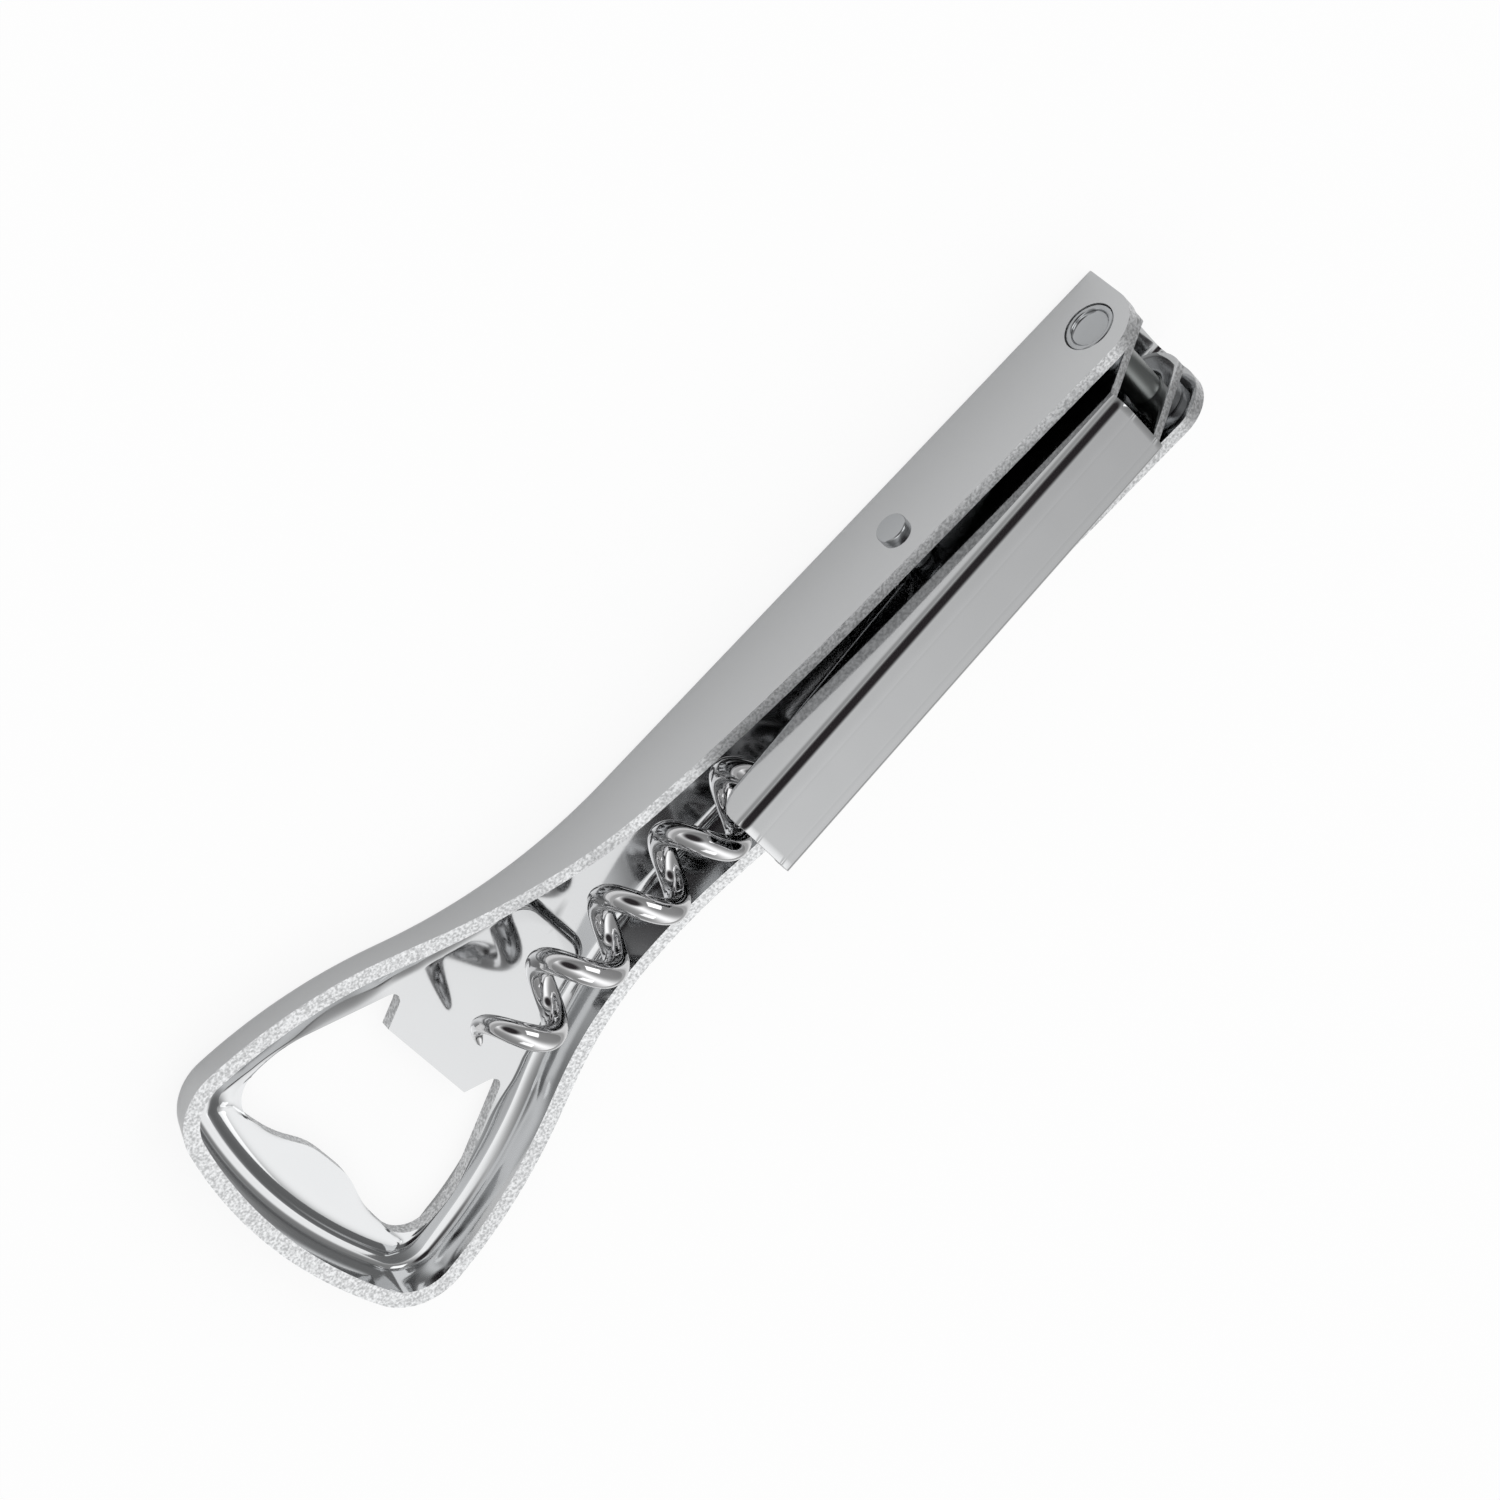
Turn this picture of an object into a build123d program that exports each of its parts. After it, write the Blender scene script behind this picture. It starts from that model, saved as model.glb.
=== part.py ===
from build123d import *
from math import asin, atan2, cos, degrees, pi, radians, sin, sqrt, tan
import os

# A folding lever corkscrew with a cap-lifter head, in millimetres.
# X runs along the handle from the pivot end to the head, Y across it, Z up. It lies on its back,
# with the channel open upwards. The origin is under the middle of its length, on the back's plane.

# ---------------------------------------------------------------- handle
length = 120.0            # overall, pivot end to head end
grip_width = 13.84        # outside of the two walls of the grip
sheet = 1.4               # steel sheet of the handle
back_bend = 1.6           # outside radius of the bend between back and walls
grip_depth = 11.3         # back to rim at the pivot end
rim_fall_angle = 1.15     # the rim falls towards the head by this angle (degrees)
rim_curve_start = 36.0    # from the pivot end, where the rim begins to drop faster
rim_drop_at = 44.0        # from the head end, where the rim drops fastest
rim_drop_height = 6.78    # rim height there
head_height = 4.95        # rim height round the head
head_rim_start = 22.5     # from the head end, where the rim becomes level
wall_corner = 4.6         # rounded upper corner of each wall at the pivot end

# ---------------------------------------------------------------- head, seen from above
head_width = 39.6
end_radius = 54.5         # shallow curve of the head's end
corner_radius = 6.5
shoulder_radius = 52.4
shoulder_angle = 5.2      # where the shoulder meets the corner (degrees)
flare_angle = 26.5        # slope of the flanks (degrees)
flank_run = 4.23          # straight part of each flank, at the rim
head_lean = 1.2           # how far the rim stands out from the back all round the head

# ---------------------------------------------------------------- raised plate and opening
groove = 1.3              # floor left between the wall and the raised plate
plate_rise = 1.05         # height of the plate over the channel's floor
plate_end = 41.1          # from the head end to the plate's neck end
plate_corner = 3.6        # rounding of its neck end
step_slope = 0.5          # how far the step's side leans
tab_root = 26.9           # from the head end to the roots of the cap tooth
tab_tip = 22.7            # from the head end to the tip of the cap tooth
tab_width = 12.2          # width of the tooth at its tip
opening_root = 16.2       # width of the opening at the tooth's roots
root_round = 0.9          # rounding of the opening at those roots
opening_width = 28.4      # widest part of the opening
opening_side_radius = 13.0
opening_corner = 3.4
lobe_edge = 7.9           # from the head end to the opening's two end lobes
lip_edge = 9.6            # from the head end to the crest of the lip between them
lip_width = 10.8          # width of the lip's crest curve

# ---------------------------------------------------------------- pivot rivet and lever
rivet_from_end = 4.3      # rivet axis from the handle's pivot end
rivet_height = 6.53       # rivet axis over the back's plane
rivet_radius = 1.7
rivet_head_radius = 2.65
rivet_dish_radius = 1.95
rivet_dish_floor = 1.7
rivet_dish_depth = 0.5
running_gap = 0.05        # radial clearance of whatever turns on a pin

lever_width = 8.66
lever_sheet = 1.0
lever_bend = 1.9          # outside radius of the bend between spine and flanges
lever_tilt = 3.35         # slope of the spine against the handle's back (degrees)
spine_start = 7.5         # hinge end of the spine, from the pivot end
spine_height = 14.28      # top of the spine at its hinge end
foot_end = 60.5           # foot end of the spine, from the pivot end
foot_depth = 4.75         # depth of the flanges at the foot
foot_corner = 2.4
ear_radius = 4.15
ear_cut_angle = 34.3      # slope of the cut edges from the spine to the ears' ends (degrees)
ear_cut_offset = 3.05     # distance of those edges from the rivet's axis
washer_radius = 2.9
washer_side_gap = 0.05

# ---------------------------------------------------------------- worm and its pin
pin_from_end = 30.7
pin_height = 6.55
pin_radius = 1.5
pin_head_radius = 1.62
pin_head_proud = 0.65
pin_head_chamfer = 0.25
sleeve_radius = 2.15
sleeve_side_gap = 0.05
flange_gap = 0.2          # the closed lever's flanges over the sleeves

wire = 2.55
worm_diameter = 8.13
worm_pitch = 8.3
worm_tilt = 0.66          # the worm's axis dips towards its tip (degrees)
worm_length = 61.8        # pin axis to tip, along the worm's axis
worm_phase = 10.0         # where the tip lies round the worm's axis (degrees)
shank_length = 18.0       # straight part, from the pin's axis
lead_in = 6.6             # length over which the wire runs out to the full helix
lead_steps = 8            # stretches of the lead-in's centre line between its points
tip_turns = 0.5           # last part of the helix, ground to a point
tip_radius = 0.12
eye_sweep = 268.0         # how far the eye goes round its pin (degrees)

# ---------------------------------------------------------------- derived places
x_pivot = -length / 2
x_head = length / 2
grip_half = grip_width / 2
floor = sheet
plate_top = floor + plate_rise
rivet_x, pin_x = x_pivot + rivet_from_end, x_pivot + pin_from_end
helix_from = shank_length + lead_in
helix_to = worm_length - tip_turns * worm_pitch
beyond = 5.0              # how far cutting shapes run past what they cut
at_point = 0.01           # how close a vertex lies to the point that it is picked by


# centres of the head's arcs, which every inset outline shares
end_centre = x_head - end_radius
corner_y = head_width / 2 - corner_radius
corner_x = end_centre + sqrt((end_radius - corner_radius) ** 2 - corner_y**2)
shoulder_x = corner_x + (shoulder_radius - corner_radius) * sin(radians(shoulder_angle))
shoulder_y = corner_y - (shoulder_radius - corner_radius) * cos(radians(shoulder_angle))

# the neck's arc is as large as the flare leaves room for beside the straight flank
flank_top = shoulder_y + shoulder_radius * cos(radians(flare_angle))
flare_rise = flank_top - grip_half - flank_run * sin(radians(flare_angle))
neck_radius = flare_rise / (1 - cos(radians(flare_angle)))


def head_plan(half_width, inset):
    """Plan outline of the handle as a face: straight grip, flared neck, shoulders, corners, end.
    Every head curve lies `inset` inside the rim's outline, and the grip is half_width wide
    on each side of its middle."""
    end_r, corner_r = end_radius - inset, corner_radius - inset
    shoulder_r, neck_r = shoulder_radius - inset, neck_radius + inset
    a = radians(flare_angle)
    corner_from = degrees(atan2(corner_y, corner_x - end_centre))
    flank_x, flank_y = shoulder_x - shoulder_r * sin(a), shoulder_y + shoulder_r * cos(a)
    flank = (flank_y - half_width - neck_r * (1 - cos(a))) / sin(a)
    neck_x = flank_x - flank * cos(a) - neck_r * sin(a)
    grip = Line((x_pivot, half_width), (neck_x, half_width))
    neck = CenterArc((neck_x, half_width + neck_r), neck_r, -90, flare_angle)
    side = Line(neck @ 1, (flank_x, flank_y))
    shoulder = CenterArc((shoulder_x, shoulder_y), shoulder_r, 90 + flare_angle,
                         shoulder_angle - flare_angle)
    corner = CenterArc((corner_x, corner_y), corner_r, 90 + shoulder_angle,
                       corner_from - 90 - shoulder_angle)
    end = CenterArc((end_centre, 0), end_r, corner_from, -2 * corner_from)
    upper = [grip, neck, side, shoulder, corner]
    lower = [mirror(e, about=Plane.XZ) for e in upper]
    closing = Line((x_pivot, half_width), (x_pivot, -half_width))
    return make_face(upper + [end] + lower + [closing])


def tray(half_width, inset, top):
    """Solid under the plan outline: it leans out by head_lean up to the head's rim height,
    and stands straight above that."""
    base = head_plan(half_width, inset + head_lean)
    rim = Pos(0, 0, head_height) * head_plan(half_width, inset)
    leaning = loft([base, rim], ruled=True)
    return leaning + extrude(rim, top - head_height)


def side_profile():
    """What is kept of the handle, seen from the side: the rim's line and the rounded wall ends."""
    fall = tan(radians(rim_fall_angle))
    turn = Vector(cos(radians(rim_fall_angle)), -sin(radians(rim_fall_angle)))
    corner_z = grip_depth - wall_corner * fall
    bottom = (x_pivot, -beyond)
    up = Line(bottom, (x_pivot, corner_z - wall_corner))
    corner = TangentArc(up @ 1, (x_pivot + wall_corner, corner_z), tangent=(0, 1))
    straight = Line(corner @ 1, (x_pivot + rim_curve_start, grip_depth - rim_curve_start * fall))
    drop = TangentArc(straight @ 1, (x_head - rim_drop_at, rim_drop_height), tangent=turn)
    level = TangentArc(drop @ 1, (x_head - head_rim_start, head_height), tangent=drop % 1)
    ahead = Line(level @ 1, (x_head + beyond, head_height))
    down = Line(ahead @ 1, (x_head + beyond, -beyond))
    return Plane.XZ * make_face([up, corner, straight, drop, level, ahead, down, Line(down @ 1, bottom)])


def plate_plan(inset):
    """Outline of the raised plate, `inset` inside the foot of the walls, with a rounded neck end."""
    whole = head_plan(grip_half - inset, head_lean + inset)
    ahead = Pos(x_head - plate_end + length / 2, 0) * Rectangle(length, head_width)
    plan = whole & ahead
    return fillet(plan.vertices().group_by(Axis.X)[0], plate_corner)


def opening_plan():
    """Cap-lifter opening: a tooth at its neck side and a curved lip with two lobes opposite."""
    root = Vector(x_head - tab_root, opening_root / 2)
    flare = Vector(cos(radians(flare_angle)), sin(radians(flare_angle)))
    side_rise = opening_side_radius * (1 - flare.X)
    slope_length = (opening_width / 2 - root.Y - side_rise) / flare.Y
    slope_end = root + flare * slope_length
    side_end = Vector(slope_end.X + opening_side_radius * flare.Y, opening_width / 2)
    lobe_x, crest_x = x_head - lobe_edge, x_head - lip_edge
    corner_end = Vector(lobe_x, opening_width / 2 - opening_corner)
    corner_start = Vector(lobe_x - opening_corner, opening_width / 2)
    turning = Vector((lobe_x + crest_x) / 2, lip_width / 2)
    tip = Line((x_head - tab_tip, 0), (x_head - tab_tip, tab_width / 2))
    upper = [
        tip,
        Line(tip @ 1, root),
        Line(root, slope_end),
        TangentArc(slope_end, side_end, tangent=flare),
        Line(side_end, corner_start),
        TangentArc(corner_start, corner_end, tangent=(1, 0)),
        Spline(corner_end, turning, (crest_x, 0), tangents=[(0, -1), (0, -1)]),
    ]
    face = make_face(upper + [mirror(e, about=Plane.XZ) for e in upper])
    roots = [v for v in face.vertices() if (Vector(v.X, abs(v.Y)) - root).length < at_point]
    return fillet(roots, root_round)


def across(radius, half_width):
    """Round bar along Y, centred on the part's middle plane."""
    return Rot(90, 0, 0) * Cylinder(radius, 2 * half_width)


def rivet_blank():
    """Rivet without its dishes: a shank whose ends flare out to be flush with the walls."""
    flare = rivet_head_radius - rivet_radius
    half = Polyline((0, 0), (rivet_radius, 0), (rivet_radius, grip_half - flare),
                    (rivet_head_radius, grip_half), (0, grip_half), close=True)
    end = revolve(make_face(half), Axis.Y, 360)
    return Pos(rivet_x, 0, rivet_height) * (end + mirror(end, about=Plane.XZ))


def worm_pin():
    """Plain pin through both walls, with low chamfered heads outside them."""
    head = Cylinder(pin_head_radius, pin_head_proud, align=(Align.CENTER, Align.CENTER, Align.MIN))
    head = chamfer(head.faces().sort_by(Axis.Z)[-1].edges(), pin_head_chamfer)
    head = Pos(0, grip_half, 0) * Rot(-90, 0, 0) * head
    pin = across(pin_radius, grip_half) + head + mirror(head, about=Plane.XZ)
    return Pos(pin_x, 0, pin_height) * pin


def pivot_rivet():
    dish_floor = grip_half - rivet_dish_depth
    half = Polyline((0, dish_floor), (rivet_dish_floor, dish_floor), (rivet_dish_radius, grip_half),
                    (rivet_dish_radius, grip_half + beyond), (0, grip_half + beyond), close=True)
    dish = Pos(rivet_x, 0, rivet_height) * revolve(make_face(half), Axis.Y, 360)
    return rivet_blank() - dish - mirror(dish, about=Plane.XZ)


def handle():
    """Pressed channel: walls all round but at the pivot end, raised plate, opening and holes."""
    outer = tray(grip_half, 0, grip_depth + beyond)
    bends = [e for e in outer.edges().group_by(Axis.Z)[0] if e.center().X > x_pivot + beyond]
    outer = fillet(bends, back_bend)
    cavity = tray(grip_half - sheet, sheet, grip_depth + 2 * beyond)
    open_end = Pos(x_pivot, 0, grip_depth) * Box(2 * beyond, grip_width - 2 * sheet, 2 * grip_depth)
    under = Pos(0, 0, floor - beyond) * Box(2 * length, 2 * head_width, 2 * beyond)
    shell = outer - ((cavity + open_end) - under)
    shell = shell & extrude(side_profile(), head_width, both=True)
    plate_inset = sheet + groove
    lift = loft([Pos(0, 0, floor) * plate_plan(plate_inset - step_slope),
                 Pos(0, 0, plate_top) * plate_plan(plate_inset)], ruled=True)
    hollow = loft([plate_plan(plate_inset), Pos(0, 0, plate_rise) * plate_plan(plate_inset + step_slope)],
                  ruled=True)
    body = (shell + lift) - hollow
    body -= extrude(opening_plan(), plate_top + beyond)
    body -= rivet_blank()
    return body - Pos(pin_x, 0, pin_height) * across(pin_radius, grip_half + beyond)


def lever_profile():
    """Side outline of the lever: spine, foot, free edge over the sleeves, ear and its cut edge."""
    tilt, cut = radians(lever_tilt), radians(ear_cut_angle)
    along, down = Vector(cos(tilt), sin(tilt)), Vector(sin(tilt), -cos(tilt))
    hinge = Vector(rivet_x, rivet_height)
    start = Vector(x_pivot + spine_start, spine_height)
    foot = start + along * ((foot_end - spine_start) / along.X)
    heel = foot + down * foot_depth
    over_sleeve = Vector(pin_x, pin_height + sleeve_radius + flange_gap)
    edge = (over_sleeve - heel).normalized()
    knee = over_sleeve + edge * (sleeve_radius + flange_gap)
    cut_dir, cut_normal = Vector(cos(cut), sin(cut)), Vector(-sin(cut), cos(cut))
    on_cut = hinge + cut_normal * ear_cut_offset
    cut_top = on_cut + cut_dir * ((start.X - on_cut.X) / cut_dir.X)
    ear_corner = on_cut - cut_dir * sqrt(ear_radius**2 - ear_cut_offset**2)
    reach = knee - hinge
    bottom_angle = atan2(reach.Y, reach.X) - (pi / 2 - asin(ear_radius / reach.length))
    ear_bottom = hinge + Vector(cos(bottom_angle), sin(bottom_angle)) * ear_radius
    ear_end = hinge - Vector(ear_radius, 0)
    outline = [
        Line(start, foot), Line(foot, heel), Line(heel, knee), Line(knee, ear_bottom),
        ThreePointArc(ear_bottom, ear_end, ear_corner), Line(ear_corner, cut_top), Line(cut_top, start),
    ]
    face = make_face(outline)
    corner = [v for v in face.vertices() if (Vector(v.X, v.Y) - heel).length < at_point]
    return Plane.XZ * fillet(corner, foot_corner)


def boot_lever():
    """Pressed channel, open downwards: a spine with two flanges that end in ears on the rivet."""
    solid = extrude(lever_profile(), lever_width / 2, both=True)
    spine = solid.faces().sort_by(lambda face: face.normal_at().Z)[-1]
    solid = fillet(spine.edges().filter_by(Axis.Y, reverse=True), lever_bend)
    inner_width = lever_width - 2 * lever_sheet
    hollow = Box(2 * length, inner_width, length, align=(Align.CENTER, Align.CENTER, Align.MAX))
    hollow = fillet(hollow.faces().sort_by(Axis.Z)[-1].edges().filter_by(Axis.X), lever_bend - lever_sheet)
    hollow = Rot(0, -lever_tilt, 0) * Pos(0, 0, -lever_sheet) * hollow
    solid -= Pos(x_pivot + spine_start, 0, spine_height) * hollow
    return solid - Pos(rivet_x, 0, rivet_height) * across(rivet_radius + running_gap, lever_width)


def ring(x, z, bore, radius, y_from, y_to):
    """Plain ring on a pin at (x, z), from y_from to y_to across the handle."""
    band = Cylinder(radius, y_to - y_from) - Cylinder(bore, y_to - y_from)
    return Pos(x, (y_from + y_to) / 2, z) * Rot(90, 0, 0) * band


def coil_point(along, radius):
    """Point of the wire's centre line at a distance along the worm's axis, which is Z here.
    The full helix begins at angle zero."""
    angle = 2 * pi * (along - helix_from) / worm_pitch
    return Vector(radius * cos(angle), radius * sin(angle), along)


def coil_plane(along, radius):
    """Plane across the wire at that point of the full helix."""
    here = coil_point(along, radius)
    turn = 2 * pi / worm_pitch
    return Plane(origin=here, z_dir=Vector(-here.Y * turn, here.X * turn, 1))


def helix_path(start, stop, radius):
    """Centre line of the full helix between two distances along the worm's axis."""
    turned = Rot(0, 0, 360 * (start - helix_from) / worm_pitch)
    return Pos(0, 0, start) * turned * Helix(worm_pitch, stop - start, radius)


def worm():
    """Wire worm: an eye round its pin, a straight shank, a lead-in, the helix and a ground point."""
    coil_radius = (worm_diameter - wire) / 2
    wire_radius = wire / 2
    eye_radius = pin_radius + running_gap + wire_radius
    shank = Cylinder(wire_radius, shank_length, align=(Align.CENTER, Align.CENTER, Align.MIN))
    lead_points = []
    for step in range(lead_steps + 1):
        share = step / lead_steps
        swell = share * share * (3 - 2 * share)
        lead_points.append(coil_point(shank_length + share * lead_in, coil_radius * swell))
    lead = Spline(lead_points, tangents=[(0, 0, 1), coil_plane(helix_from, coil_radius).z_dir])
    lead = sweep(Plane.XY.offset(shank_length) * Circle(wire_radius), path=lead)
    coil_start, coil_end = coil_plane(helix_from, coil_radius), coil_plane(helix_to, coil_radius)
    coil_path = helix_path(helix_from, helix_to, coil_radius)
    coil = sweep(coil_start * Circle(wire_radius), path=coil_path, is_frenet=True)
    tip_path = helix_path(helix_to, worm_length, coil_radius)
    point_end = coil_plane(worm_length, coil_radius) * Circle(tip_radius)
    tip = sweep([coil_end * Circle(wire_radius), point_end], path=tip_path,
                multisection=True, is_frenet=True)
    coil_turn = worm_phase - 360 * (worm_length - helix_from) / worm_pitch
    turns = Rot(0, 0, coil_turn) * (lead + coil + tip)
    straight = Pos(0, 0, eye_radius) * Rot(0, 90, 0) * (shank + turns)
    section = Plane.YZ * (Pos(0, eye_radius) * Circle(wire_radius))
    eye = revolve(section, Axis.Y, -eye_sweep)
    return Pos(pin_x, 0, pin_height) * Rot(0, worm_tilt, 0) * (straight + eye)


def main():
    wall_inside = grip_half - sheet
    ear_outside = lever_width / 2
    washer = ring(rivet_x, rivet_height, rivet_radius + running_gap, washer_radius,
                  ear_outside + washer_side_gap, wall_inside - washer_side_gap)
    sleeve = ring(pin_x, pin_height, pin_radius + running_gap, sleeve_radius,
                  wire / 2 + sleeve_side_gap, wall_inside - sleeve_side_gap)
    parts = {
        "handle": handle(),
        "pivot_rivet": pivot_rivet(),
        "worm_pin": worm_pin(),
        "pivot_washer_far": washer,
        "pivot_washer_near": mirror(washer, about=Plane.XZ),
        "worm_sleeve_far": sleeve,
        "worm_sleeve_near": mirror(sleeve, about=Plane.XZ),
        "boot_lever": boot_lever(),
        "worm": worm(),
    }
    os.makedirs("parts", exist_ok=True)
    for name, shape in parts.items():
        export_step(shape, f"parts/{name}.step")
        print(name, len(shape.solids()), round(shape.volume, 2))


main()
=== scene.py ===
# %% [markdown]
# # A folding lever corkscrew
# The real tool is two pressed steel channels, a bent wire and two pins, all plated bright.
# Nothing on it is painted or printed, so every colour that the eye sees is a reflection. That
# decides how the lesson goes: surfaces are worked out as formulas, finely and smoothly, because a
# mirror shows each dent of a mesh, and the room around the tool gets as much care as the metal.

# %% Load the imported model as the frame
from math import acos, asin, atan2, cos, hypot, pi, radians, sin, sqrt, tan

import bmesh
import bpy
import numpy as np
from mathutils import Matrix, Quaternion, Vector


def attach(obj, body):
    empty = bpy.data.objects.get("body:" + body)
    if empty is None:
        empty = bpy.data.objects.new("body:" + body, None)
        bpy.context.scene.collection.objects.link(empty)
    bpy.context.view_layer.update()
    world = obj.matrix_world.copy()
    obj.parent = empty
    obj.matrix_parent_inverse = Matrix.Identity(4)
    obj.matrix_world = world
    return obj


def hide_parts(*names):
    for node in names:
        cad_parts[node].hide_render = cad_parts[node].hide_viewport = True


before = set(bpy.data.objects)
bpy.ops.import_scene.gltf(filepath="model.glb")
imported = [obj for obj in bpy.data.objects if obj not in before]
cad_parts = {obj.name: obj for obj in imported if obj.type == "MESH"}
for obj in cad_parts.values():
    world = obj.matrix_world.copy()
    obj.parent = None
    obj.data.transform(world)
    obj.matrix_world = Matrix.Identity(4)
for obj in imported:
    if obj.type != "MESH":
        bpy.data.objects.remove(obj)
scene = bpy.context.scene
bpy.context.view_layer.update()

# %% [markdown]
# ## Camera
# The tool is looked at from its own left side, half from above, with a long lens, and the picture
# is turned so that the tool lies across it from corner to corner. A camera can be placed by its
# position or by where it looks. The second is used: an aim point, two angles, a distance, and a
# roll about the line of sight.

# %% Camera
MM = 0.001
aim = Vector((-5.2, 0.2, 5.0)) * MM
camera_azimuth = radians(-0.19)
camera_elevation = radians(49.51)
camera_roll = radians(133.8)
camera_distance = 546.0 * MM
lens_mm, sensor_mm = 138.75, 36.0
clip_near, clip_far = 0.05, 20.0

camera = bpy.data.objects.new("camera", bpy.data.cameras.new("camera"))
scene.collection.objects.link(camera)
scene.camera = camera
camera.data.lens, camera.data.sensor_width = lens_mm, sensor_mm
camera.data.clip_start, camera.data.clip_end = clip_near, clip_far
towards_camera = Vector((sin(camera_azimuth) * cos(camera_elevation),
                         -cos(camera_azimuth) * cos(camera_elevation),
                         sin(camera_elevation)))
camera.location = aim + towards_camera * camera_distance
camera.rotation_mode = "QUATERNION"
level = (-towards_camera).to_track_quat("-Z", "Y")
camera.rotation_quaternion = level @ Quaternion((0, 0, 1), camera_roll)
print("camera at", [round(v, 4) for v in camera.location])

# %% [markdown]
# ## Colours and nodes
# Colours are written as the hex values of a paint chart, which are sRGB, and a shader wants linear
# light, so one function turns one into the other. The others add shader nodes and set or link what
# they are given, which keeps each material short enough to read.

# %% Helpers for materials


def linear(code):
    """Linear RGBA of an sRGB hex colour: each channel's power curve is undone."""
    channels = np.array([int(code[i:i + 2], 16) for i in (1, 3, 5)]) / 255.0
    low, high = channels / 12.92, ((channels + 0.055) / 1.055) ** 2.4
    return (*np.where(channels <= 0.04045, low, high).tolist(), 1.0)


def add_node(tree, kind, settings=None, **inputs):
    """Adds a shader node: settings are its attributes, inputs are values, sockets or nodes.

    A node gives its first output. An input goes by its name, with _ for a space, or its number.
    """
    node = tree.nodes.new("ShaderNode" + kind)
    for name, value in (settings or {}).items():
        setattr(node, name, value)
    for name, value in inputs.items():
        numbered = name.startswith("in") and name[2:].isdigit()
        socket = node.inputs[int(name[2:]) if numbered else name.replace("_", " ")]
        if isinstance(value, bpy.types.Node):
            value = value.outputs[0]
        if isinstance(value, bpy.types.NodeSocket):
            tree.links.new(value, socket)
        else:
            socket.default_value = value
    return node


def maths(tree, operation, *values):
    """Math node over numbers, sockets or nodes."""
    inputs = {f"in{i}": value for i, value in enumerate(values)}
    return add_node(tree, "Math", {"operation": operation}, **inputs)


def smooth_share(tree, value, start, end, least=0.0):
    """Node with a smooth step from least at start to 1 at end."""
    return add_node(tree, "MapRange", {"interpolation_type": "SMOOTHSTEP"}, Value=value,
                    From_Min=start, From_Max=end, To_Min=least)


def blend(tree, share, first, second):
    """Socket with the first colour where the share is 0 and the second where it is 1."""
    mixed = add_node(tree, "Mix", {"data_type": "RGBA"}, in0=share, in6=first, in7=second)
    return mixed.outputs[2]


def new_tree(owner):
    """Empties the owner's node tree and returns it."""
    owner.use_nodes = True
    owner.node_tree.nodes.clear()
    return owner.node_tree


def new_material(name):
    """A material, its empty node tree and the socket of places on the piece, in metres."""
    material = bpy.data.materials.new(name)
    tree = new_tree(material)
    return material, tree, add_node(tree, "TexCoord").outputs["Object"]


# %% [markdown]
# ## Room and light
# A polished tool has no look of its own, so the room is drawn with it in mind. The table is
# white paper. A pale tent hangs over it, brightest above the tool's middle and its head, dimmer
# towards the pivot end and a little dimmer towards its hem. In front of it stands somebody who
# looks at the tool. This dark place draws the thin dark line along every bend and every turn of
# the wire. The tent is the world's own shader, a function of direction alone.

# %% Table
table_size, table_below = 6.0, 0.05 * MM
paper_white_to_camera, paper_white_to_metal = 0.88, 0.12
# Painted shade: in what metal mirrors, the paper turns grey far off, down to this level.
lit_near, lit_far, lit_along, far_shade_level = 22 * MM, 60 * MM, 0.35, 0.40
table_mesh = bpy.data.meshes.new("table")
corners = [(x * table_size, y * table_size, 0) for x, y in ((-1, -1), (1, -1), (1, 1), (-1, 1))]
table_mesh.from_pydata(corners, [], [(0, 1, 2, 3)])
table = bpy.data.objects.new("table", table_mesh)
table.location.z = -table_below
scene.collection.objects.link(table)


def ray_kinds(tree):
    """Sockets that are 1 for the camera's own rays and for rays that metal has mirrored."""
    path = add_node(tree, "LightPath")
    return path.outputs["Is Camera Ray"], path.outputs["Is Glossy Ray"]


def white_paper():
    """Matt white paper, a share of it even white; what metal mirrors is grey far off, painted
    shade.
    """
    material, tree, place = new_material("white_paper")
    camera_ray, mirrored = ray_kinds(tree)
    across = add_node(tree, "VectorMath", {"operation": "MULTIPLY"},
                      in0=place, in1=(lit_along, 1, 0))
    off = add_node(tree, "VectorMath", {"operation": "LENGTH"}, in0=across)
    fade = smooth_share(tree, off.outputs["Value"], lit_near, lit_far)
    faded = maths(tree, "MULTIPLY", fade, mirrored)
    # The grey far off is painted shade, only in what metal mirrors.
    tone = blend(tree, faded, linear("#F2F2F2"), (far_shade_level, far_shade_level, far_shade_level, 1))
    matt = add_node(tree, "BsdfDiffuse", Color=tone)
    even = add_node(tree, "Emission", Color=linear("#FFFFFF"))
    to_metal = maths(tree, "MULTIPLY", mirrored, paper_white_to_metal)
    share = maths(tree, "MULTIPLY_ADD", camera_ray, paper_white_to_camera, to_metal)
    mixed = add_node(tree, "MixShader", Fac=share, in1=matt, in2=even)
    add_node(tree, "OutputMaterial", Surface=mixed)
    return material


table.data.materials.append(white_paper())

# %% Tent
tent_least, tent_bell, tent_middle, tent_width = 0.33, 1.15, 0.20, 0.34
tent_hem_sine, horizon_level = 0.70, 0.85
onlooker_elevation = radians(31)
onlooker_core, onlooker_edge = cos(radians(15)), cos(radians(34))


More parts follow.
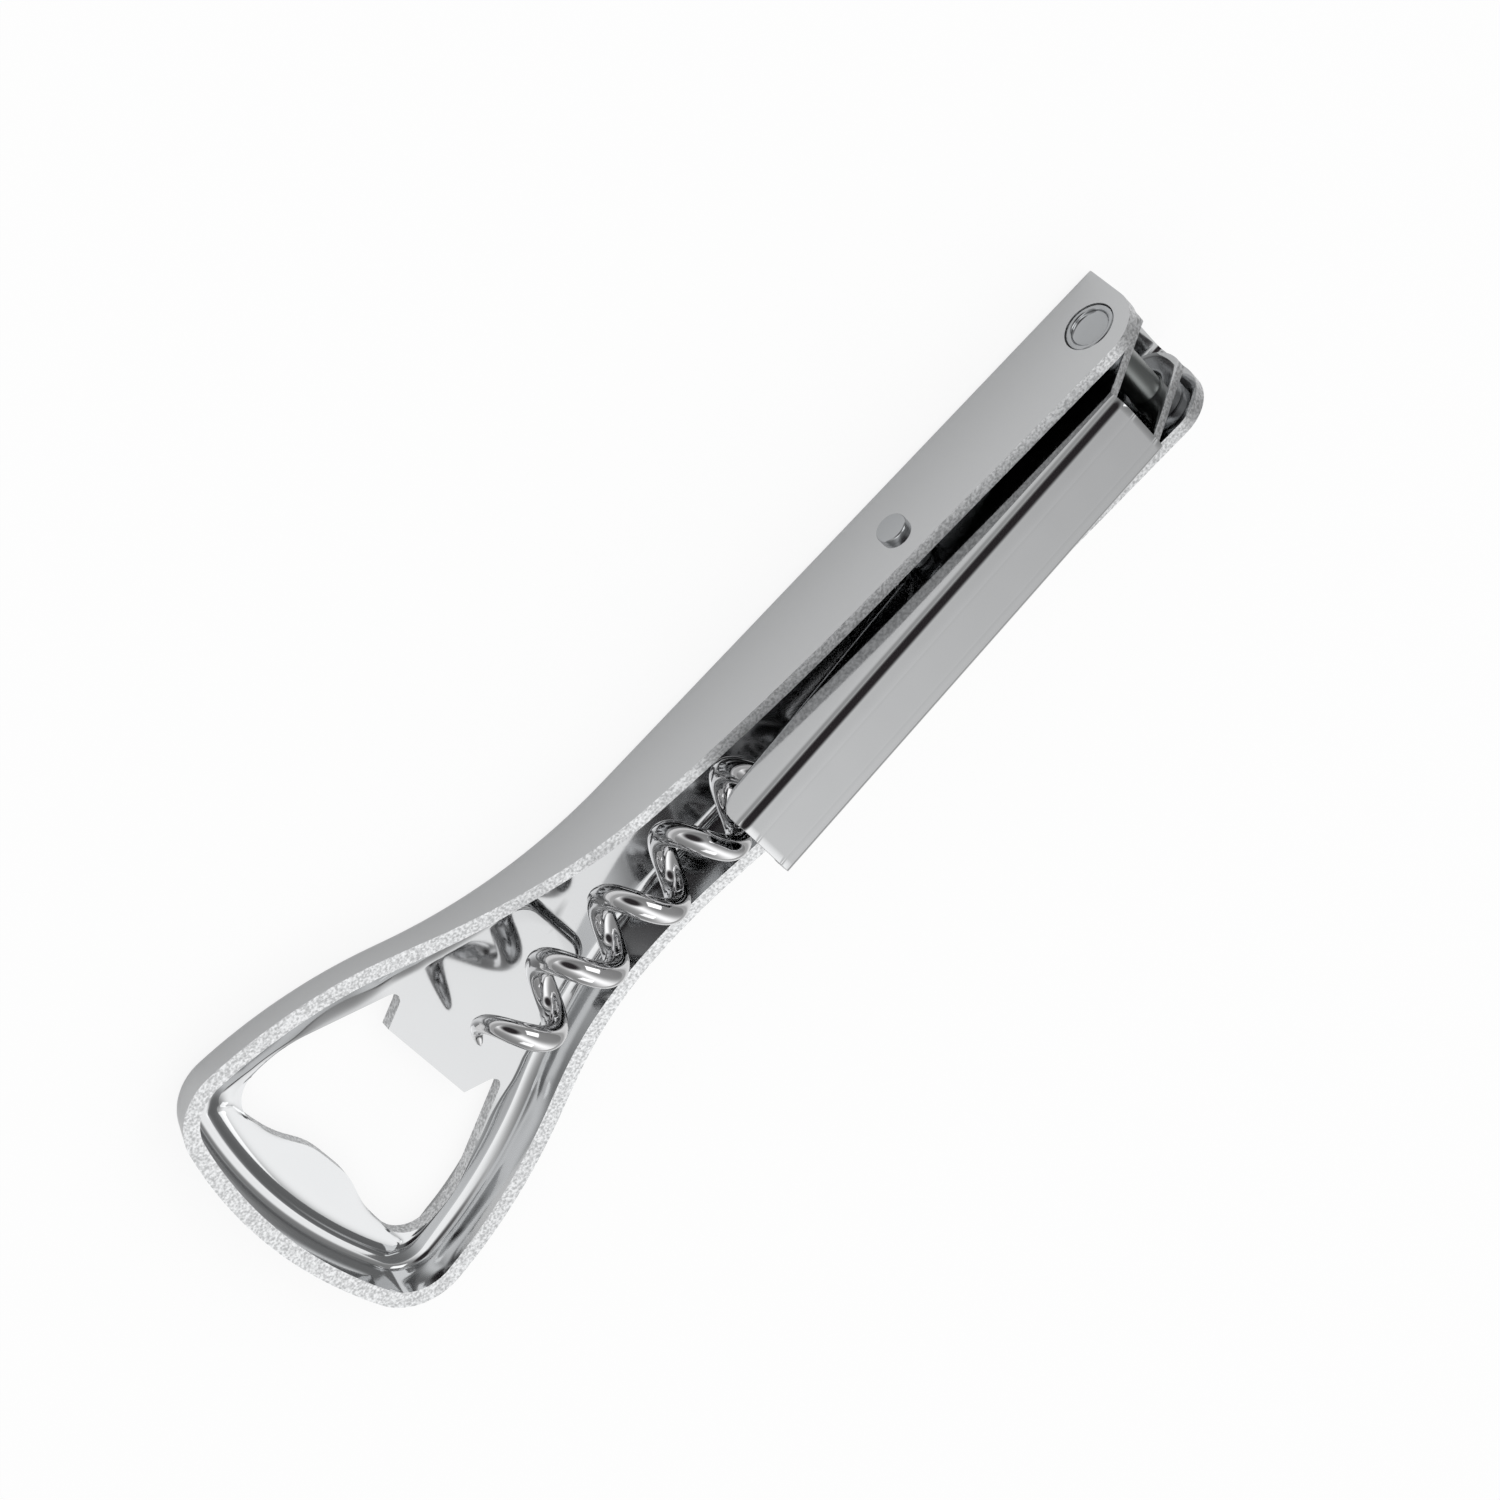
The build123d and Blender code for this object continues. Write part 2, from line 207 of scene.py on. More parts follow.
def tent(world):
    """Brightness by direction (x, y, z): (least + bell exp(-((x - middle) / width)^2)) hem(z)."""
    tree = new_tree(world)
    camera_ray, mirrored = ray_kinds(tree)
    where = add_node(tree, "TexCoord").outputs["Generated"]
    part = add_node(tree, "SeparateXYZ", Vector=where)
    off = maths(tree, "MULTIPLY_ADD", part.outputs["X"], 1 / tent_width, -tent_middle / tent_width)
    square = maths(tree, "MULTIPLY", off, off)
    bell = maths(tree, "EXPONENT", maths(tree, "MULTIPLY", square, -1.0))
    level = maths(tree, "MULTIPLY_ADD", bell, tent_bell, tent_least)
    hem = smooth_share(tree, part.outputs["Z"], 0.0, tent_hem_sine, horizon_level)
    pale = maths(tree, "MULTIPLY", level, hem)
    onlooker = (0.0, -cos(onlooker_elevation), sin(onlooker_elevation))
    facing = add_node(tree, "VectorMath", {"operation": "DOT_PRODUCT"}, in0=where, in1=onlooker)
    dark = smooth_share(tree, facing.outputs["Value"], onlooker_edge, onlooker_core)
    shade = blend(tree, dark, pale, linear("#322E30"))
    unlit = blend(tree, camera_ray, linear("#F0F0F0"), linear("#FFFFFF"))
    background = add_node(tree, "Background", Color=blend(tree, mirrored, unlit, shade))
    add_node(tree, "OutputWorld", Surface=background)


world = bpy.data.worlds.new("tent")
scene.world = world
tent(world)
scene.view_settings.view_transform = "Standard"


def softbox(name, place, size, power):
    """Square area lamp that faces the tool; place and size in metres, power in watts."""
    lamp = bpy.data.lights.new(name, "AREA")
    lamp.shape, lamp.size, lamp.energy = "SQUARE", size, power
    holder = bpy.data.objects.new(name, lamp)
    scene.collection.objects.link(holder)
    holder.location = place
    holder.rotation_mode = "QUATERNION"
    holder.rotation_quaternion = (aim - Vector(place)).to_track_quat("-Z", "Y")


softbox("softbox_behind", (0.85, 0.50, 0.90), size=0.60, power=1.1)
softbox("softbox_left", (-0.9, -0.25, 0.8), size=0.70, power=2.2)

# %% [markdown]
# ## Metals
# Bright chromium plate is almost a mirror and slightly darker than silver: it gives back a bit more
# than half of the light. Pressed sheet is never quite flat, which a slow, very shallow noise in the
# normal gives, and the die leaves marks that are drawn out along the tool. The sheet's cut edges
# are torn, not polished, before they are plated: they glitter in grains, some bright and some
# grey, which is a noise in both the colour and the normal. Real shear marks are finer than its
# cells, but too fine to show.

# %% Metals


def bumped(tree, place, size_mm, depth_mm, normal=None, detail=1.0):
    """Normal with a noise of that size and depth, on top of another normal if one is given."""
    noise = add_node(tree, "TexNoise", Vector=place, Scale=1 / (size_mm * MM), Detail=detail)
    more = {"Normal": normal} if normal else {}
    bump = add_node(tree, "Bump", Strength=1.0, Distance=depth_mm * MM, Height=noise, **more)
    return noise, bump


def plated(name, colour, roughness, wave_mm, wave_depth_mm, mark_mm, mark_depth_mm,
           mark_stretch=1.0):
    """Plated metal with two noises in its normal: slow waves, and marks stretched along X."""
    material, tree, place = new_material(name)
    drawn = add_node(tree, "Mapping", Vector=place, Scale=(1 / mark_stretch, 1, 1))
    _, waves = bumped(tree, place, wave_mm, wave_depth_mm)
    _, marks = bumped(tree, drawn, mark_mm, mark_depth_mm, waves, detail=2.0)
    shader = add_node(tree, "BsdfPrincipled", Base_Color=linear(colour), Metallic=1.0,
                      Roughness=roughness, Normal=marks)
    add_node(tree, "OutputMaterial", Surface=shader)
    return material


def torn_edge(grain_mm, depth_mm, least, most, roughness):
    """Plated edge of sheared sheet: noise from least to most is grey to white, and tilts it too."""
    material, tree, place = new_material("sheared_plated_edge")
    grain, grains = bumped(tree, place, grain_mm, depth_mm, detail=2.0)
    share = add_node(tree, "MapRange", Value=grain, From_Min=least, From_Max=most)
    tone = blend(tree, share, linear("#B4B5B6"), linear("#E8E9EA"))
    shader = add_node(tree, "BsdfPrincipled", Base_Color=tone, Metallic=1.0,
                      Roughness=roughness, Normal=grains)
    add_node(tree, "OutputMaterial", Surface=shader)
    return material


# Chromium on pressed sheet: a slightly blue grey mirror, drawn out along the tool.
bright_chrome = plated("bright_chrome_plate", "#C6C7C8", roughness=0.09, wave_mm=7.0,
                       wave_depth_mm=0.018, mark_mm=0.5, mark_depth_mm=0.0002, mark_stretch=40.0)
# The same plate over torn steel: it glitters in grey and white grains.
sheared_edge = torn_edge(grain_mm=0.28, depth_mm=0.018, least=0.34, most=0.64, roughness=0.46)
# Bright nickel on drawn wire: it gives back a little more light than the chromium.
bright_wire = plated("bright_nickel_wire", "#D8D8D9", roughness=0.07, wave_mm=4.0,
                     wave_depth_mm=0.012, mark_mm=0.3, mark_depth_mm=0.0006)
# Turned steel, plated: fine rings left by the tool blur what it mirrors.
turned_steel = plated("turned_plated_steel", "#B2B4B6", roughness=0.18, wave_mm=2.0,
                      wave_depth_mm=0.012, mark_mm=0.2, mark_depth_mm=0.0012)
# Steel between the walls: darker and more blurred.
dull_steel = plated("dull_steel", "#7C7F7E", roughness=0.30, wave_mm=2.0,
                    wave_depth_mm=0.010, mark_mm=0.2, mark_depth_mm=0.0020)

# %% [markdown]
# ## Meshes from grids
# Every new piece is a set of grids: a surface is worked out as whole arrays of points, rows by
# columns, in millimetres, and each grid becomes quads. The grids of a piece share border points,
# so merging equal points sews them into one closed skin.

# %% Helpers for meshes
same_point = 1e-7
quarter = pi / 2


def mix(first, second, share):
    """Weighted mean of two arrays: first where the share is 0, second where it is 1."""
    return first * (1 - share) + second * share


def ruled(first, second, columns):
    """Grid of straight lines between two curves with as many points."""
    return mix(first[:, None], second[:, None], np.linspace(0, 1, columns + 1)[None, :, None])


class Skin:
    """Collects grids of points in millimetres, each with its material's number."""

    def __init__(self, *grids):
        self.points, self.faces, self.kinds, self.count = [], [], [], 0
        for surface in grids:
            self.grid(surface)

    def grid(self, surface, kind=0, cut=()):
        """Adds a grid (rows, columns, 3). Each (row0, row1, column0, column1) of cut stays open."""
        rows, columns = surface.shape[:2]
        index = self.count + np.arange(rows * columns).reshape(rows, columns)
        quads = np.stack([index[:-1, :-1], index[1:, :-1], index[1:, 1:], index[:-1, 1:]], -1)
        keep = np.ones(quads.shape[:2], bool)
        for row0, row1, column0, column1 in cut:
            keep[row0:row1, column0:column1] = False
        self.points.append(surface.reshape(-1, 3))
        self.faces.append(quads[keep])
        self.kinds.append(np.full(keep.sum(), kind))
        self.count += rows * columns

    def strip(self, first, second, columns=1, kind=0):
        """Adds the ruled surface between two curves with as many points."""
        self.grid(ruled(first, second, columns), kind)

    def mirrored(self):
        """Adds a mirror image of all that is there, across the middle plane y = 0."""
        points, faces = np.concatenate(self.points), np.concatenate(self.faces)
        self.points.append(points * (1, -1, 1))
        self.faces.append(faces[:, ::-1] + self.count)
        self.kinds.append(np.concatenate(self.kinds))
        self.count *= 2

    def piece(self, name, materials, sharp_degrees=40.0):
        """Sews the grids into one mesh whose faces point outwards, and returns its object."""
        mesh = bpy.data.meshes.new(name)
        mesh.from_pydata(np.concatenate(self.points) * MM, [], np.concatenate(self.faces).tolist())
        mesh.polygons.foreach_set("material_index", np.concatenate(self.kinds).astype(np.int32))
        for material in materials:
            mesh.materials.append(material)
        work = bmesh.new()
        work.from_mesh(mesh)
        bmesh.ops.remove_doubles(work, verts=work.verts, dist=same_point)
        bmesh.ops.dissolve_degenerate(work, edges=work.edges, dist=same_point / 10)
        bmesh.ops.recalc_face_normals(work, faces=work.faces)
        work.to_mesh(mesh)
        work.free()
        mesh.shade_smooth()
        mesh.set_sharp_from_angle(angle=radians(sharp_degrees))
        holder = bpy.data.objects.new(name, mesh)
        scene.collection.objects.link(holder)
        return holder


def rounded_edges(holder, width_mm):
    """Rounds edges that turn by more than 50 degrees, as tumbling before plating does."""
    bevel = holder.modifiers.new("rounded_edges", "BEVEL")
    bevel.width, bevel.segments = width_mm * MM, 2
    bevel.limit_method, bevel.angle_limit = "ANGLE", radians(50)


def stands_for(holder, body, slot, *nodes):
    """The piece rides on a body and stands for CAD nodes; its slot is not used.

    With its modifiers on, the edges without two faces are counted; a closed piece has none.
    """
    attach(holder, body)
    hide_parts(*nodes)
    shown = holder.evaluated_get(bpy.context.evaluated_depsgraph_get())
    work = bmesh.new()
    work.from_mesh(shown.to_mesh())
    open_edges = sum(len(edge.link_faces) != 2 for edge in work.edges)
    print(holder.name, "faces", len(work.faces), "open edges", open_edges)
    work.free()
    shown.to_mesh_clear()


def lift_to(plan, height):
    """Points (n, 2) of a plan with a height, as (n, 3)."""
    return np.column_stack([plan, np.broadcast_to(height, len(plan))])


# %% [markdown]
# ## Handle: driving sizes and plan
# The handle is one pressing. Seen from above it is a straight grip, a neck that flares, shoulders,
# two tight corners and a shallow end. All these curves are tangent arcs, and a smaller outline
# inside them is the same arcs with other radii, so one function gives the outline at any inset.
# Only the half on the far side is worked out, and a mirror image makes the other.

# %% Handle sizes, in millimetres
length = 120.0
grip_half = 13.84 / 2
sheet = 1.4
back_bend = 1.6
inner_bend, end_bend, end_bend_from, end_bend_to = 1.0, 0.55, 47.0, 56.0
grip_depth = 11.3
rim_fall = tan(radians(1.15))
rim_curve_start, rim_drop_at, rim_drop_height = 36.0, 44.0, 6.78
head_height, head_rim_start = 4.95, 22.5
wall_corner = 4.6
head_width, end_radius, corner_radius = 39.6, 54.5, 6.5
shoulder_radius, shoulder_angle, flare_angle = 52.4, radians(5.2), radians(26.5)
neck_radius, head_lean = 54.0, 1.2
plate_rise, plate_end, plate_corner = 1.05, 41.1, 3.6
x_pivot, x_head = -length / 2, length / 2
plate_top = sheet + plate_rise
rim_spread, spread_from, spread_to = 0.3, 15.0, 30.0
# The plate's side rolls over from its foot to its crest. Both are measured from the outer wall, but
# along the opening's sides from its edge. A change from one to the other runs between two x. The
# hollow under the plate rises between two shares of the way from foot to crest.
roll_foot, roll_crest, roll_across, roll_corner, roll_hollow = 2.2, 3.75, 1.0, 2.4, 0.25
end_crest, end_crest_from, end_crest_to = 4.5, 46.0, 54.0
side_foot, side_crest, side_from, side_to = 2.0, 0.2, 33.5, 38.0
side_leaves_x, lip_within_y = 43.0, 7.0
plate_slope, slope_from, slope_to = tan(radians(9)), 33.0, 39.0
slope_reach, end_slope_loss = 2.0, 0.5
hollow_from, hollow_to = 0.30, 0.95

# %% Outline of the handle at any inset
wall_corner_points, before_neck_points, neck_points = 15, 6, 12
beyond_fillet_points, flank_points = 16, 5
shoulder_points, corner_points, end_points = 30, 26, 22
cross_points, fillet_points = 8, 16
grip_spacing = 1.0
cross_angle = 0.075


def up_to(start, end, count):
    """Even numbers from start towards end, without the last of count."""
    return np.linspace(start, end, count)[:-1]


def arc(centre, radius, angles):
    """Points of an arc: centre plus radius times (cosine, sine) of each angle."""
    return np.array(centre) + radius * np.column_stack([np.cos(angles), np.sin(angles)])


def line(first, second, shares):
    """Points of a straight line at those shares of its length."""
    return mix(np.array(first), np.array(second), shares[:, None])


def plan_arcs(t, lean):
    """Centres and radii at inset t, the head's lean further in, worked backwards from its end."""
    half_width, inset = grip_half - t, t + lean
    end_r, corner_r = end_radius - inset, corner_radius - inset
    shoulder_r, neck_r = shoulder_radius - inset, neck_radius + inset
    end_centre = x_head - end_radius
    corner_y = head_width / 2 - corner_radius
    corner_x = end_centre + sqrt((end_r - corner_r) ** 2 - corner_y**2)
    away = corner_r - shoulder_r
    shoulder = (corner_x - away * sin(shoulder_angle), corner_y + away * cos(shoulder_angle))
    flank = (shoulder[0] - shoulder_r * sin(flare_angle),
             shoulder[1] + shoulder_r * cos(flare_angle))
    run = (flank[1] - half_width - neck_r * (1 - cos(flare_angle))) / sin(flare_angle)
    neck_x = flank[0] - run * cos(flare_angle) - neck_r * sin(flare_angle)
    return {"neck": (neck_x, half_width + neck_r), "neck_r": neck_r, "flank": flank,
            "shoulder": shoulder, "shoulder_r": shoulder_r, "corner": (corner_x, corner_y),
            "corner_r": corner_r, "end": (end_centre, 0.0), "end_r": end_r,
            "end_from": atan2(corner_y, corner_x - end_centre)}


def plate_fillet(t, cross_x, radius):
    """The plan's arcs, centre of the arc from a cross line into the neck, and where that ends."""
    a = plan_arcs(t, head_lean)
    centre_x = cross_x + radius
    reach = asin((centre_x - a["neck"][0]) / (a["neck_r"] + radius))
    centre = (centre_x, a["neck"][1] - (a["neck_r"] + radius) * cos(reach))
    return a, centre, reach


def beyond_neck(a, reach):
    """Outline from an angle on the neck to the middle of the head's end."""
    return np.concatenate([
        arc(a["neck"], a["neck_r"], up_to(reach, flare_angle, beyond_fillet_points) - quarter),
        line(a["neck"] + a["neck_r"] * np.array([sin(flare_angle), -cos(flare_angle)]),
             a["flank"], up_to(0, 1, flank_points)),
        arc(a["shoulder"], a["shoulder_r"],
            quarter + up_to(flare_angle, shoulder_angle, shoulder_points)),
        arc(a["corner"], a["corner_r"],
            up_to(quarter + shoulder_angle, a["end_from"], corner_points)),
        arc(a["end"], a["end_r"], np.linspace(a["end_from"], 0, end_points))])


across_x = x_head - plate_end
fillet_reach = plate_fillet(roll_foot, across_x, plate_corner)[-1]


def eased(x, start, end):
    """Smooth step from 0 at start to 1 at end: 3 s^2 - 2 s^3 of the share s between them."""
    s = np.clip((x - start) / (end - start), 0, 1)
    return s * s * (3 - 2 * s)


def outline(t, lean):
    """Whole half outline at inset t, with the head's curves lean further inside.

    The last cross_angle before fillet_reach has the partners of the plate's cross line and corner.
    """
    a = plan_arcs(t, lean)
    front = x_pivot + wall_corner * (1 - np.cos(up_to(0, quarter, wall_corner_points)))
    steps = int((0 - x_pivot - wall_corner) / grip_spacing)
    straight = np.linspace(x_pivot + wall_corner, 0.0, steps + 1)
    last = np.linspace(0.0, a["neck"][0], before_neck_points)[1:-1]
    grip_x = np.concatenate([front, straight, last])
    grip = np.column_stack([grip_x, np.full(len(grip_x), grip_half - t)])
    to_plate = fillet_reach - cross_angle
    neck = np.concatenate([up_to(0, to_plate, neck_points),
                           up_to(to_plate, fillet_reach, cross_points + fillet_points)])
    return np.concatenate([grip, arc(a["neck"], a["neck_r"], neck - pi / 2),
                           beyond_neck(a, fillet_reach)])


def plate_outline(inset, cross_x, corner=plate_corner):
    """Half outline of the raised plate: cross line, rounded corner, then along the walls."""
    a, centre, reach = plate_fillet(inset, cross_x, corner)
    turn = np.linspace(-pi, reach - 3 * quarter, fillet_points)
    return np.concatenate([
        line((cross_x, 0.0), (cross_x, centre[1]), up_to(0, 1, cross_points)),
        arc(centre, corner, turn),
        beyond_neck(a, reach)[1:]])


def outline_rows(inset, lean):
    """Outline with an inset for each row: a mix of the outlines at the least and the greatest."""
    low, high = outline(inset.min(), lean), outline(inset.max(), lean)
    share = (inset - inset.min()) / max(np.ptp(inset), 1e-9)
    return mix(low, high, share[:, None])


plate_count = len(plate_outline(roll_foot, across_x))

# %% [markdown]
# ## Handle: height of the rim
# Seen from the side the rim falls in a straight line, then in one arc that bends down over the
# neck and a second that bends back to level round the head. Each arc leaves its start tangent to
# what comes before it and goes through a known point, which fixes its centre.

# %% Rim height


def tangent_arc(start, direction, through):
    """Centre, radius and final direction of the arc that leaves start along direction."""
    start, direction, through = (np.array(v, float) for v in (start, direction, through))
    normal = np.array([-direction[1], direction[0]])
    chord = through - start
    radius = chord @ chord / (2 * chord @ normal)
    unit = chord / np.linalg.norm(chord)
    return start + normal * radius, radius, 2 * (direction @ unit) * unit - direction


fall_direction = np.array([1.0, -rim_fall]) / hypot(1.0, rim_fall)
drop_start = (x_pivot + rim_curve_start, grip_depth - rim_curve_start * rim_fall)
drop_end = (x_head - rim_drop_at, rim_drop_height)
level_start = (x_head - head_rim_start, head_height)
drop_centre, drop_radius, drop_direction = tangent_arc(drop_start, fall_direction, drop_end)
level_centre, level_radius, _ = tangent_arc(drop_end, drop_direction, level_start)


def rim_height(x):
    """Height of the rim over the back at each x: corner, straight fall, two arcs, level."""
    def on_arc(centre, radius):
        half_chord = np.sqrt(np.maximum(radius**2 - (x - centre[0]) ** 2, 0))
        return centre[1] - np.sign(radius) * half_chord

    corner_z = grip_depth - wall_corner * rim_fall
    from_corner = np.clip(x_pivot + wall_corner - x, 0, wall_corner)
    corner = corner_z - wall_corner + np.sqrt(wall_corner**2 - from_corner**2)
    ends = (x_pivot + wall_corner, drop_start[0], drop_end[0], level_start[0])
    return np.select([x < end for end in ends],
                     [corner, grip_depth - (x - x_pivot) * rim_fall,
                      on_arc(drop_centre, drop_radius), on_arc(level_centre, level_radius)],
                     head_height)


# %% [markdown]
# ## Handle: the cap opening
# The opening has a blunt tooth on its neck side, straight flaring sides, and opposite the tooth a
# curved lip between two lobes. Its half outline starts on the middle line at the plate's neck end,
# runs to the tooth and round the opening to the lip's crest, so that each of its points has a
# partner on the plate's outline.

# %% Opening
tab_root, tab_tip, tab_width, root_round = 26.9, 22.7, 12.2, 0.9
opening_root, opening_width, opening_side_radius, opening_corner = 16.2, 28.4, 13.0, 3.4
lobe_edge, lip_edge, lip_width = 7.9, 9.6, 10.8
line_points, arc_points, lobe_points = 40, 30, 20


def rounded_corner(before, corner, after, radius, count=12):
    """Arc of that radius that rounds a corner between two points."""
    a, b = (np.array(v) - corner for v in (before, after))
    a, b = a / np.linalg.norm(a), b / np.linalg.norm(b)
    half = acos(float(a @ b)) / 2
    middle = (a + b) / np.linalg.norm(a + b)
    centre = corner + middle * radius / sin(half)
    starts = [corner + v * radius / tan(half) - centre for v in (a, b)]
    angles = np.unwrap([atan2(v[1], v[0]) for v in starts])
    return arc(centre, radius, np.linspace(angles[0], angles[1], count))


def opening_curve():
    """Dense half outline of the opening from the tooth's tip to the lip's crest, and its corners.

    The lip stands out from the lobes as 1 / (1 + (2 y / width)^4), a crest with soft shoulders.
    """
    root = np.array([x_head - tab_root, opening_root / 2])
    tip = np.array([x_head - tab_tip, tab_width / 2])
    flare = np.array([cos(flare_angle), sin(flare_angle)])
    rise = opening_side_radius * (1 - flare[0])
    side_y = opening_width / 2
    slope_end = root + flare * ((side_y - root[1] - rise) / flare[1])
    side_centre = (slope_end[0] + opening_side_radius * flare[1], side_y - opening_side_radius)
    lobe_x, crest_x = x_head - lobe_edge, x_head - lip_edge
    corner_centre = (lobe_x - opening_corner, side_y - opening_corner)
    shares = np.linspace(0, 1, line_points)
    lip_y = corner_centre[1] * (1 - shares)
    swell = 1 / (1 + (lip_y / (lip_width / 2)) ** 4)
    lip_x = lobe_x + (crest_x - lobe_x) * (swell - swell[0]) / (1 - swell[0])
    root_arc = rounded_corner(tip, root, slope_end, root_round)
    return np.concatenate([
        line((tip[0], 0.0), tip, shares[:-1]),
        line(tip, root_arc[0], shares[:-1]),
        root_arc[:-1],
        line(root_arc[-1], slope_end, shares[:-1]),
        arc(side_centre, opening_side_radius, up_to(quarter + flare_angle, quarter, arc_points)),
        line((side_centre[0], side_y), (corner_centre[0], side_y), shares[:-1]),
        arc(corner_centre, opening_corner, up_to(quarter, 0, lobe_points)),
        np.column_stack([lip_x, lip_y])]), [tip, root]


def resampled(curve, corners, count):
    """count points evenly along a dense curve, with the nearest ones moved onto its corners."""
    run = np.concatenate([[0], np.cumsum(np.hypot(*np.diff(curve, axis=0).T))])
    places = np.linspace(0, run[-1], count)
    for corner in corners:
        at = run[np.argmin(np.hypot(*(curve - corner).T))]
        places[np.argmin(np.abs(places - at))] = at
    return np.column_stack([np.interp(places, run, curve[:, k]) for k in range(2)])


middle_points, tooth_points = 18, 16
opening_half, opening_corners = opening_curve()
root_at = int(np.argmin(np.hypot(*(opening_half - opening_corners[1]).T)))
plate_inner = np.concatenate([
    line((across_x + roll_across, 0.0), (x_head - tab_tip, 0.0), up_to(0, 1, middle_points + 1)),
    resampled(opening_half[:root_at + 1], opening_corners[:1], tooth_points + 1)[:-1],
    resampled(opening_half[root_at:], [], plate_count - middle_points - tooth_points)])

# %% [markdown]
# ## Handle: the skin
# A cross section of the sheet is followed all the way round: floor, inner bend, wall, rim, outer
# bend, back. Each stretch of it becomes one grid whose rows run along the outline. In the grip the
# rim is as thick as the sheet, and round the head it spreads, while the bend gets tighter towards
# the end. So an inset or a bend is not one number but an array, a value for each row. The raised
# plate has no sharp step: it rolls over, steeply from the groove and then ever flatter to the
# opening, as does the hollow under it. Where pins go through the walls a few cells are left out,
# and a ring of quads joins that window to a round hole.

# %% Handle skin
rivet_x, rivet_z, rivet_hole = x_pivot + 4.3, 6.53, 2.68
pin_x, pin_z, pin_hole = x_pivot + 30.7, 6.55, 1.52
bend_columns, wall_columns, flat_columns, roll_columns, edge_columns = 13, 12, 7, 18, 3
CHROME, EDGE = 0, 1

rows_x = outline(0.0, 0.0)[:, 0]
rows = np.ones(len(rows_x))
rim_extra = rim_spread * eased(rows_x, spread_from, spread_to)
inner_radius = inner_bend + (end_bend - inner_bend) * eased(rows_x, end_bend_from, end_bend_to)


def leaning(inset, extra, height, top):
    """Points of the wall: at its foot head_lean further in, at its rim extra further in."""
    foot, rim = outline_rows(inset, head_lean), outline_rows(inset + extra, 0.0)
    return np.column_stack([mix(foot, rim, (height / top)[:, None]), height])


def wall_side(inset, radius, foot, extra):
    """Grid of one side of the wall: quarter arcs of the bend, then straight up to the rim."""
    top = rim_height(outline_rows(inset + extra, 0.0)[:, 0])
    columns = []
    for angle in np.linspace(0, pi / 2, bend_columns):
        height = foot + radius * (1 - cos(angle))
        columns.append(leaning(inset + radius * (1 - sin(angle)), extra, height, top))
    start = foot + radius
    for share in np.linspace(0, 1, wall_columns + 1)[1:]:
        columns.append(leaning(inset, extra, start + (top - start) * share, top))
    return np.stack(columns, 1)


def hole_ring(grid, window, centre, radius, columns=4):
    """Grid from a window's border to a circle in the wall's own plane."""
    row0, row1, column0, column1 = window
    border = np.concatenate([grid[row0:row1, column0], grid[row1, column0:column1],
                             grid[row1:row0:-1, column1], grid[row0, column1:column0:-1],
                             grid[row0:row0 + 1, column0]])
    start = atan2(border[0, 2] - centre[1], border[0, 0] - centre[0])
    angles = start + np.linspace(0, 2 * pi, len(border))
    circle = np.column_stack([centre[0] + radius * np.cos(angles), border[:, 1],
                              centre[1] + radius * np.sin(angles)])
    return ruled(border, circle, columns), circle


def window_round(wall, centre, radius, margin=1.1):
    """Rows and columns of the smallest window of a wall that clears a hole by the margin."""
    along = wall[:, -1, 0]
    row0 = int(np.searchsorted(along, centre[0] - radius - margin)) - 1
    row1 = int(np.searchsorted(along, centre[0] + radius + margin))
    heights = wall[(row0 + row1) // 2, :, 2]
    column0 = int(np.searchsorted(heights, centre[1] - radius - margin)) - 1
    column1 = int(np.searchsorted(heights, centre[1] + radius + margin))
    return max(row0, 1), row1, max(column0, bend_columns), min(column1, len(heights) - 2)


def roll(foot, crest, crest_height, slope, power):
    """Plate's side over the share s from foot to crest: a hollow A s^2 up to s = a, then a crown.

    The crown is 1 - m (1 - s) - B (1 - s)^p, where m is the slope left at the crest. It meets the
    hollow at s = a with the same height and slope, which gives B and A.
    """
    a, b = roll_hollow, 1 - roll_hollow
    rise = crest_height - sheet
    m = slope * np.hypot(*(crest - foot).T) / rise
    crown = (1 - m * (1 - a / 2)) / (b ** (power - 1) * (power * a / 2 + b))
    hollow = (m + power * crown * b ** (power - 1)) / (2 * a)
    columns = []
    for s in np.linspace(0, 1, roll_columns):
        height = hollow * s * s if s < a else 1 - m * (1 - s) - crown * (1 - s) ** power
        columns.append(lift_to(mix(foot, crest, s), sheet + rise * height))
    return np.stack(columns, 1)


def step_below(foot, crest):
    """Side of the hollow under the plate, with a smooth S in its height."""
    return np.stack([lift_to(mix(foot, crest, s), plate_rise * eased(s, 0.0, 1.0))
                     for s in np.linspace(0, 1, roll_columns)], 1)


def walls(skin):
    """Adds both sides of the wall with the holes in them and the rim, and returns the sides."""
    inner = wall_side(sheet * rows, inner_radius, sheet * rows, rim_extra)
    outer = wall_side(0.0 * rows, back_bend * rows, 0.0 * rows, 0.0 * rows)
    holes = [((rivet_x, rivet_z), rivet_hole), ((pin_x, pin_z), pin_hole)]
    windows = [window_round(outer, centre, radius) for centre, radius in holes]
    for (centre, radius), window in zip(holes, windows):
        inner_ring, inner_circle = hole_ring(inner, window, centre, radius)
        outer_ring, outer_circle = hole_ring(outer, window, centre, radius)
        skin.grid(inner_ring)
        skin.grid(outer_ring)
        skin.strip(inner_circle, outer_circle, 1, EDGE)
    skin.grid(inner, CHROME, windows)
    skin.grid(outer, CHROME, windows)
    skin.strip(inner[:, -1], outer[:, -1], edge_columns, EDGE)
    return inner, outer


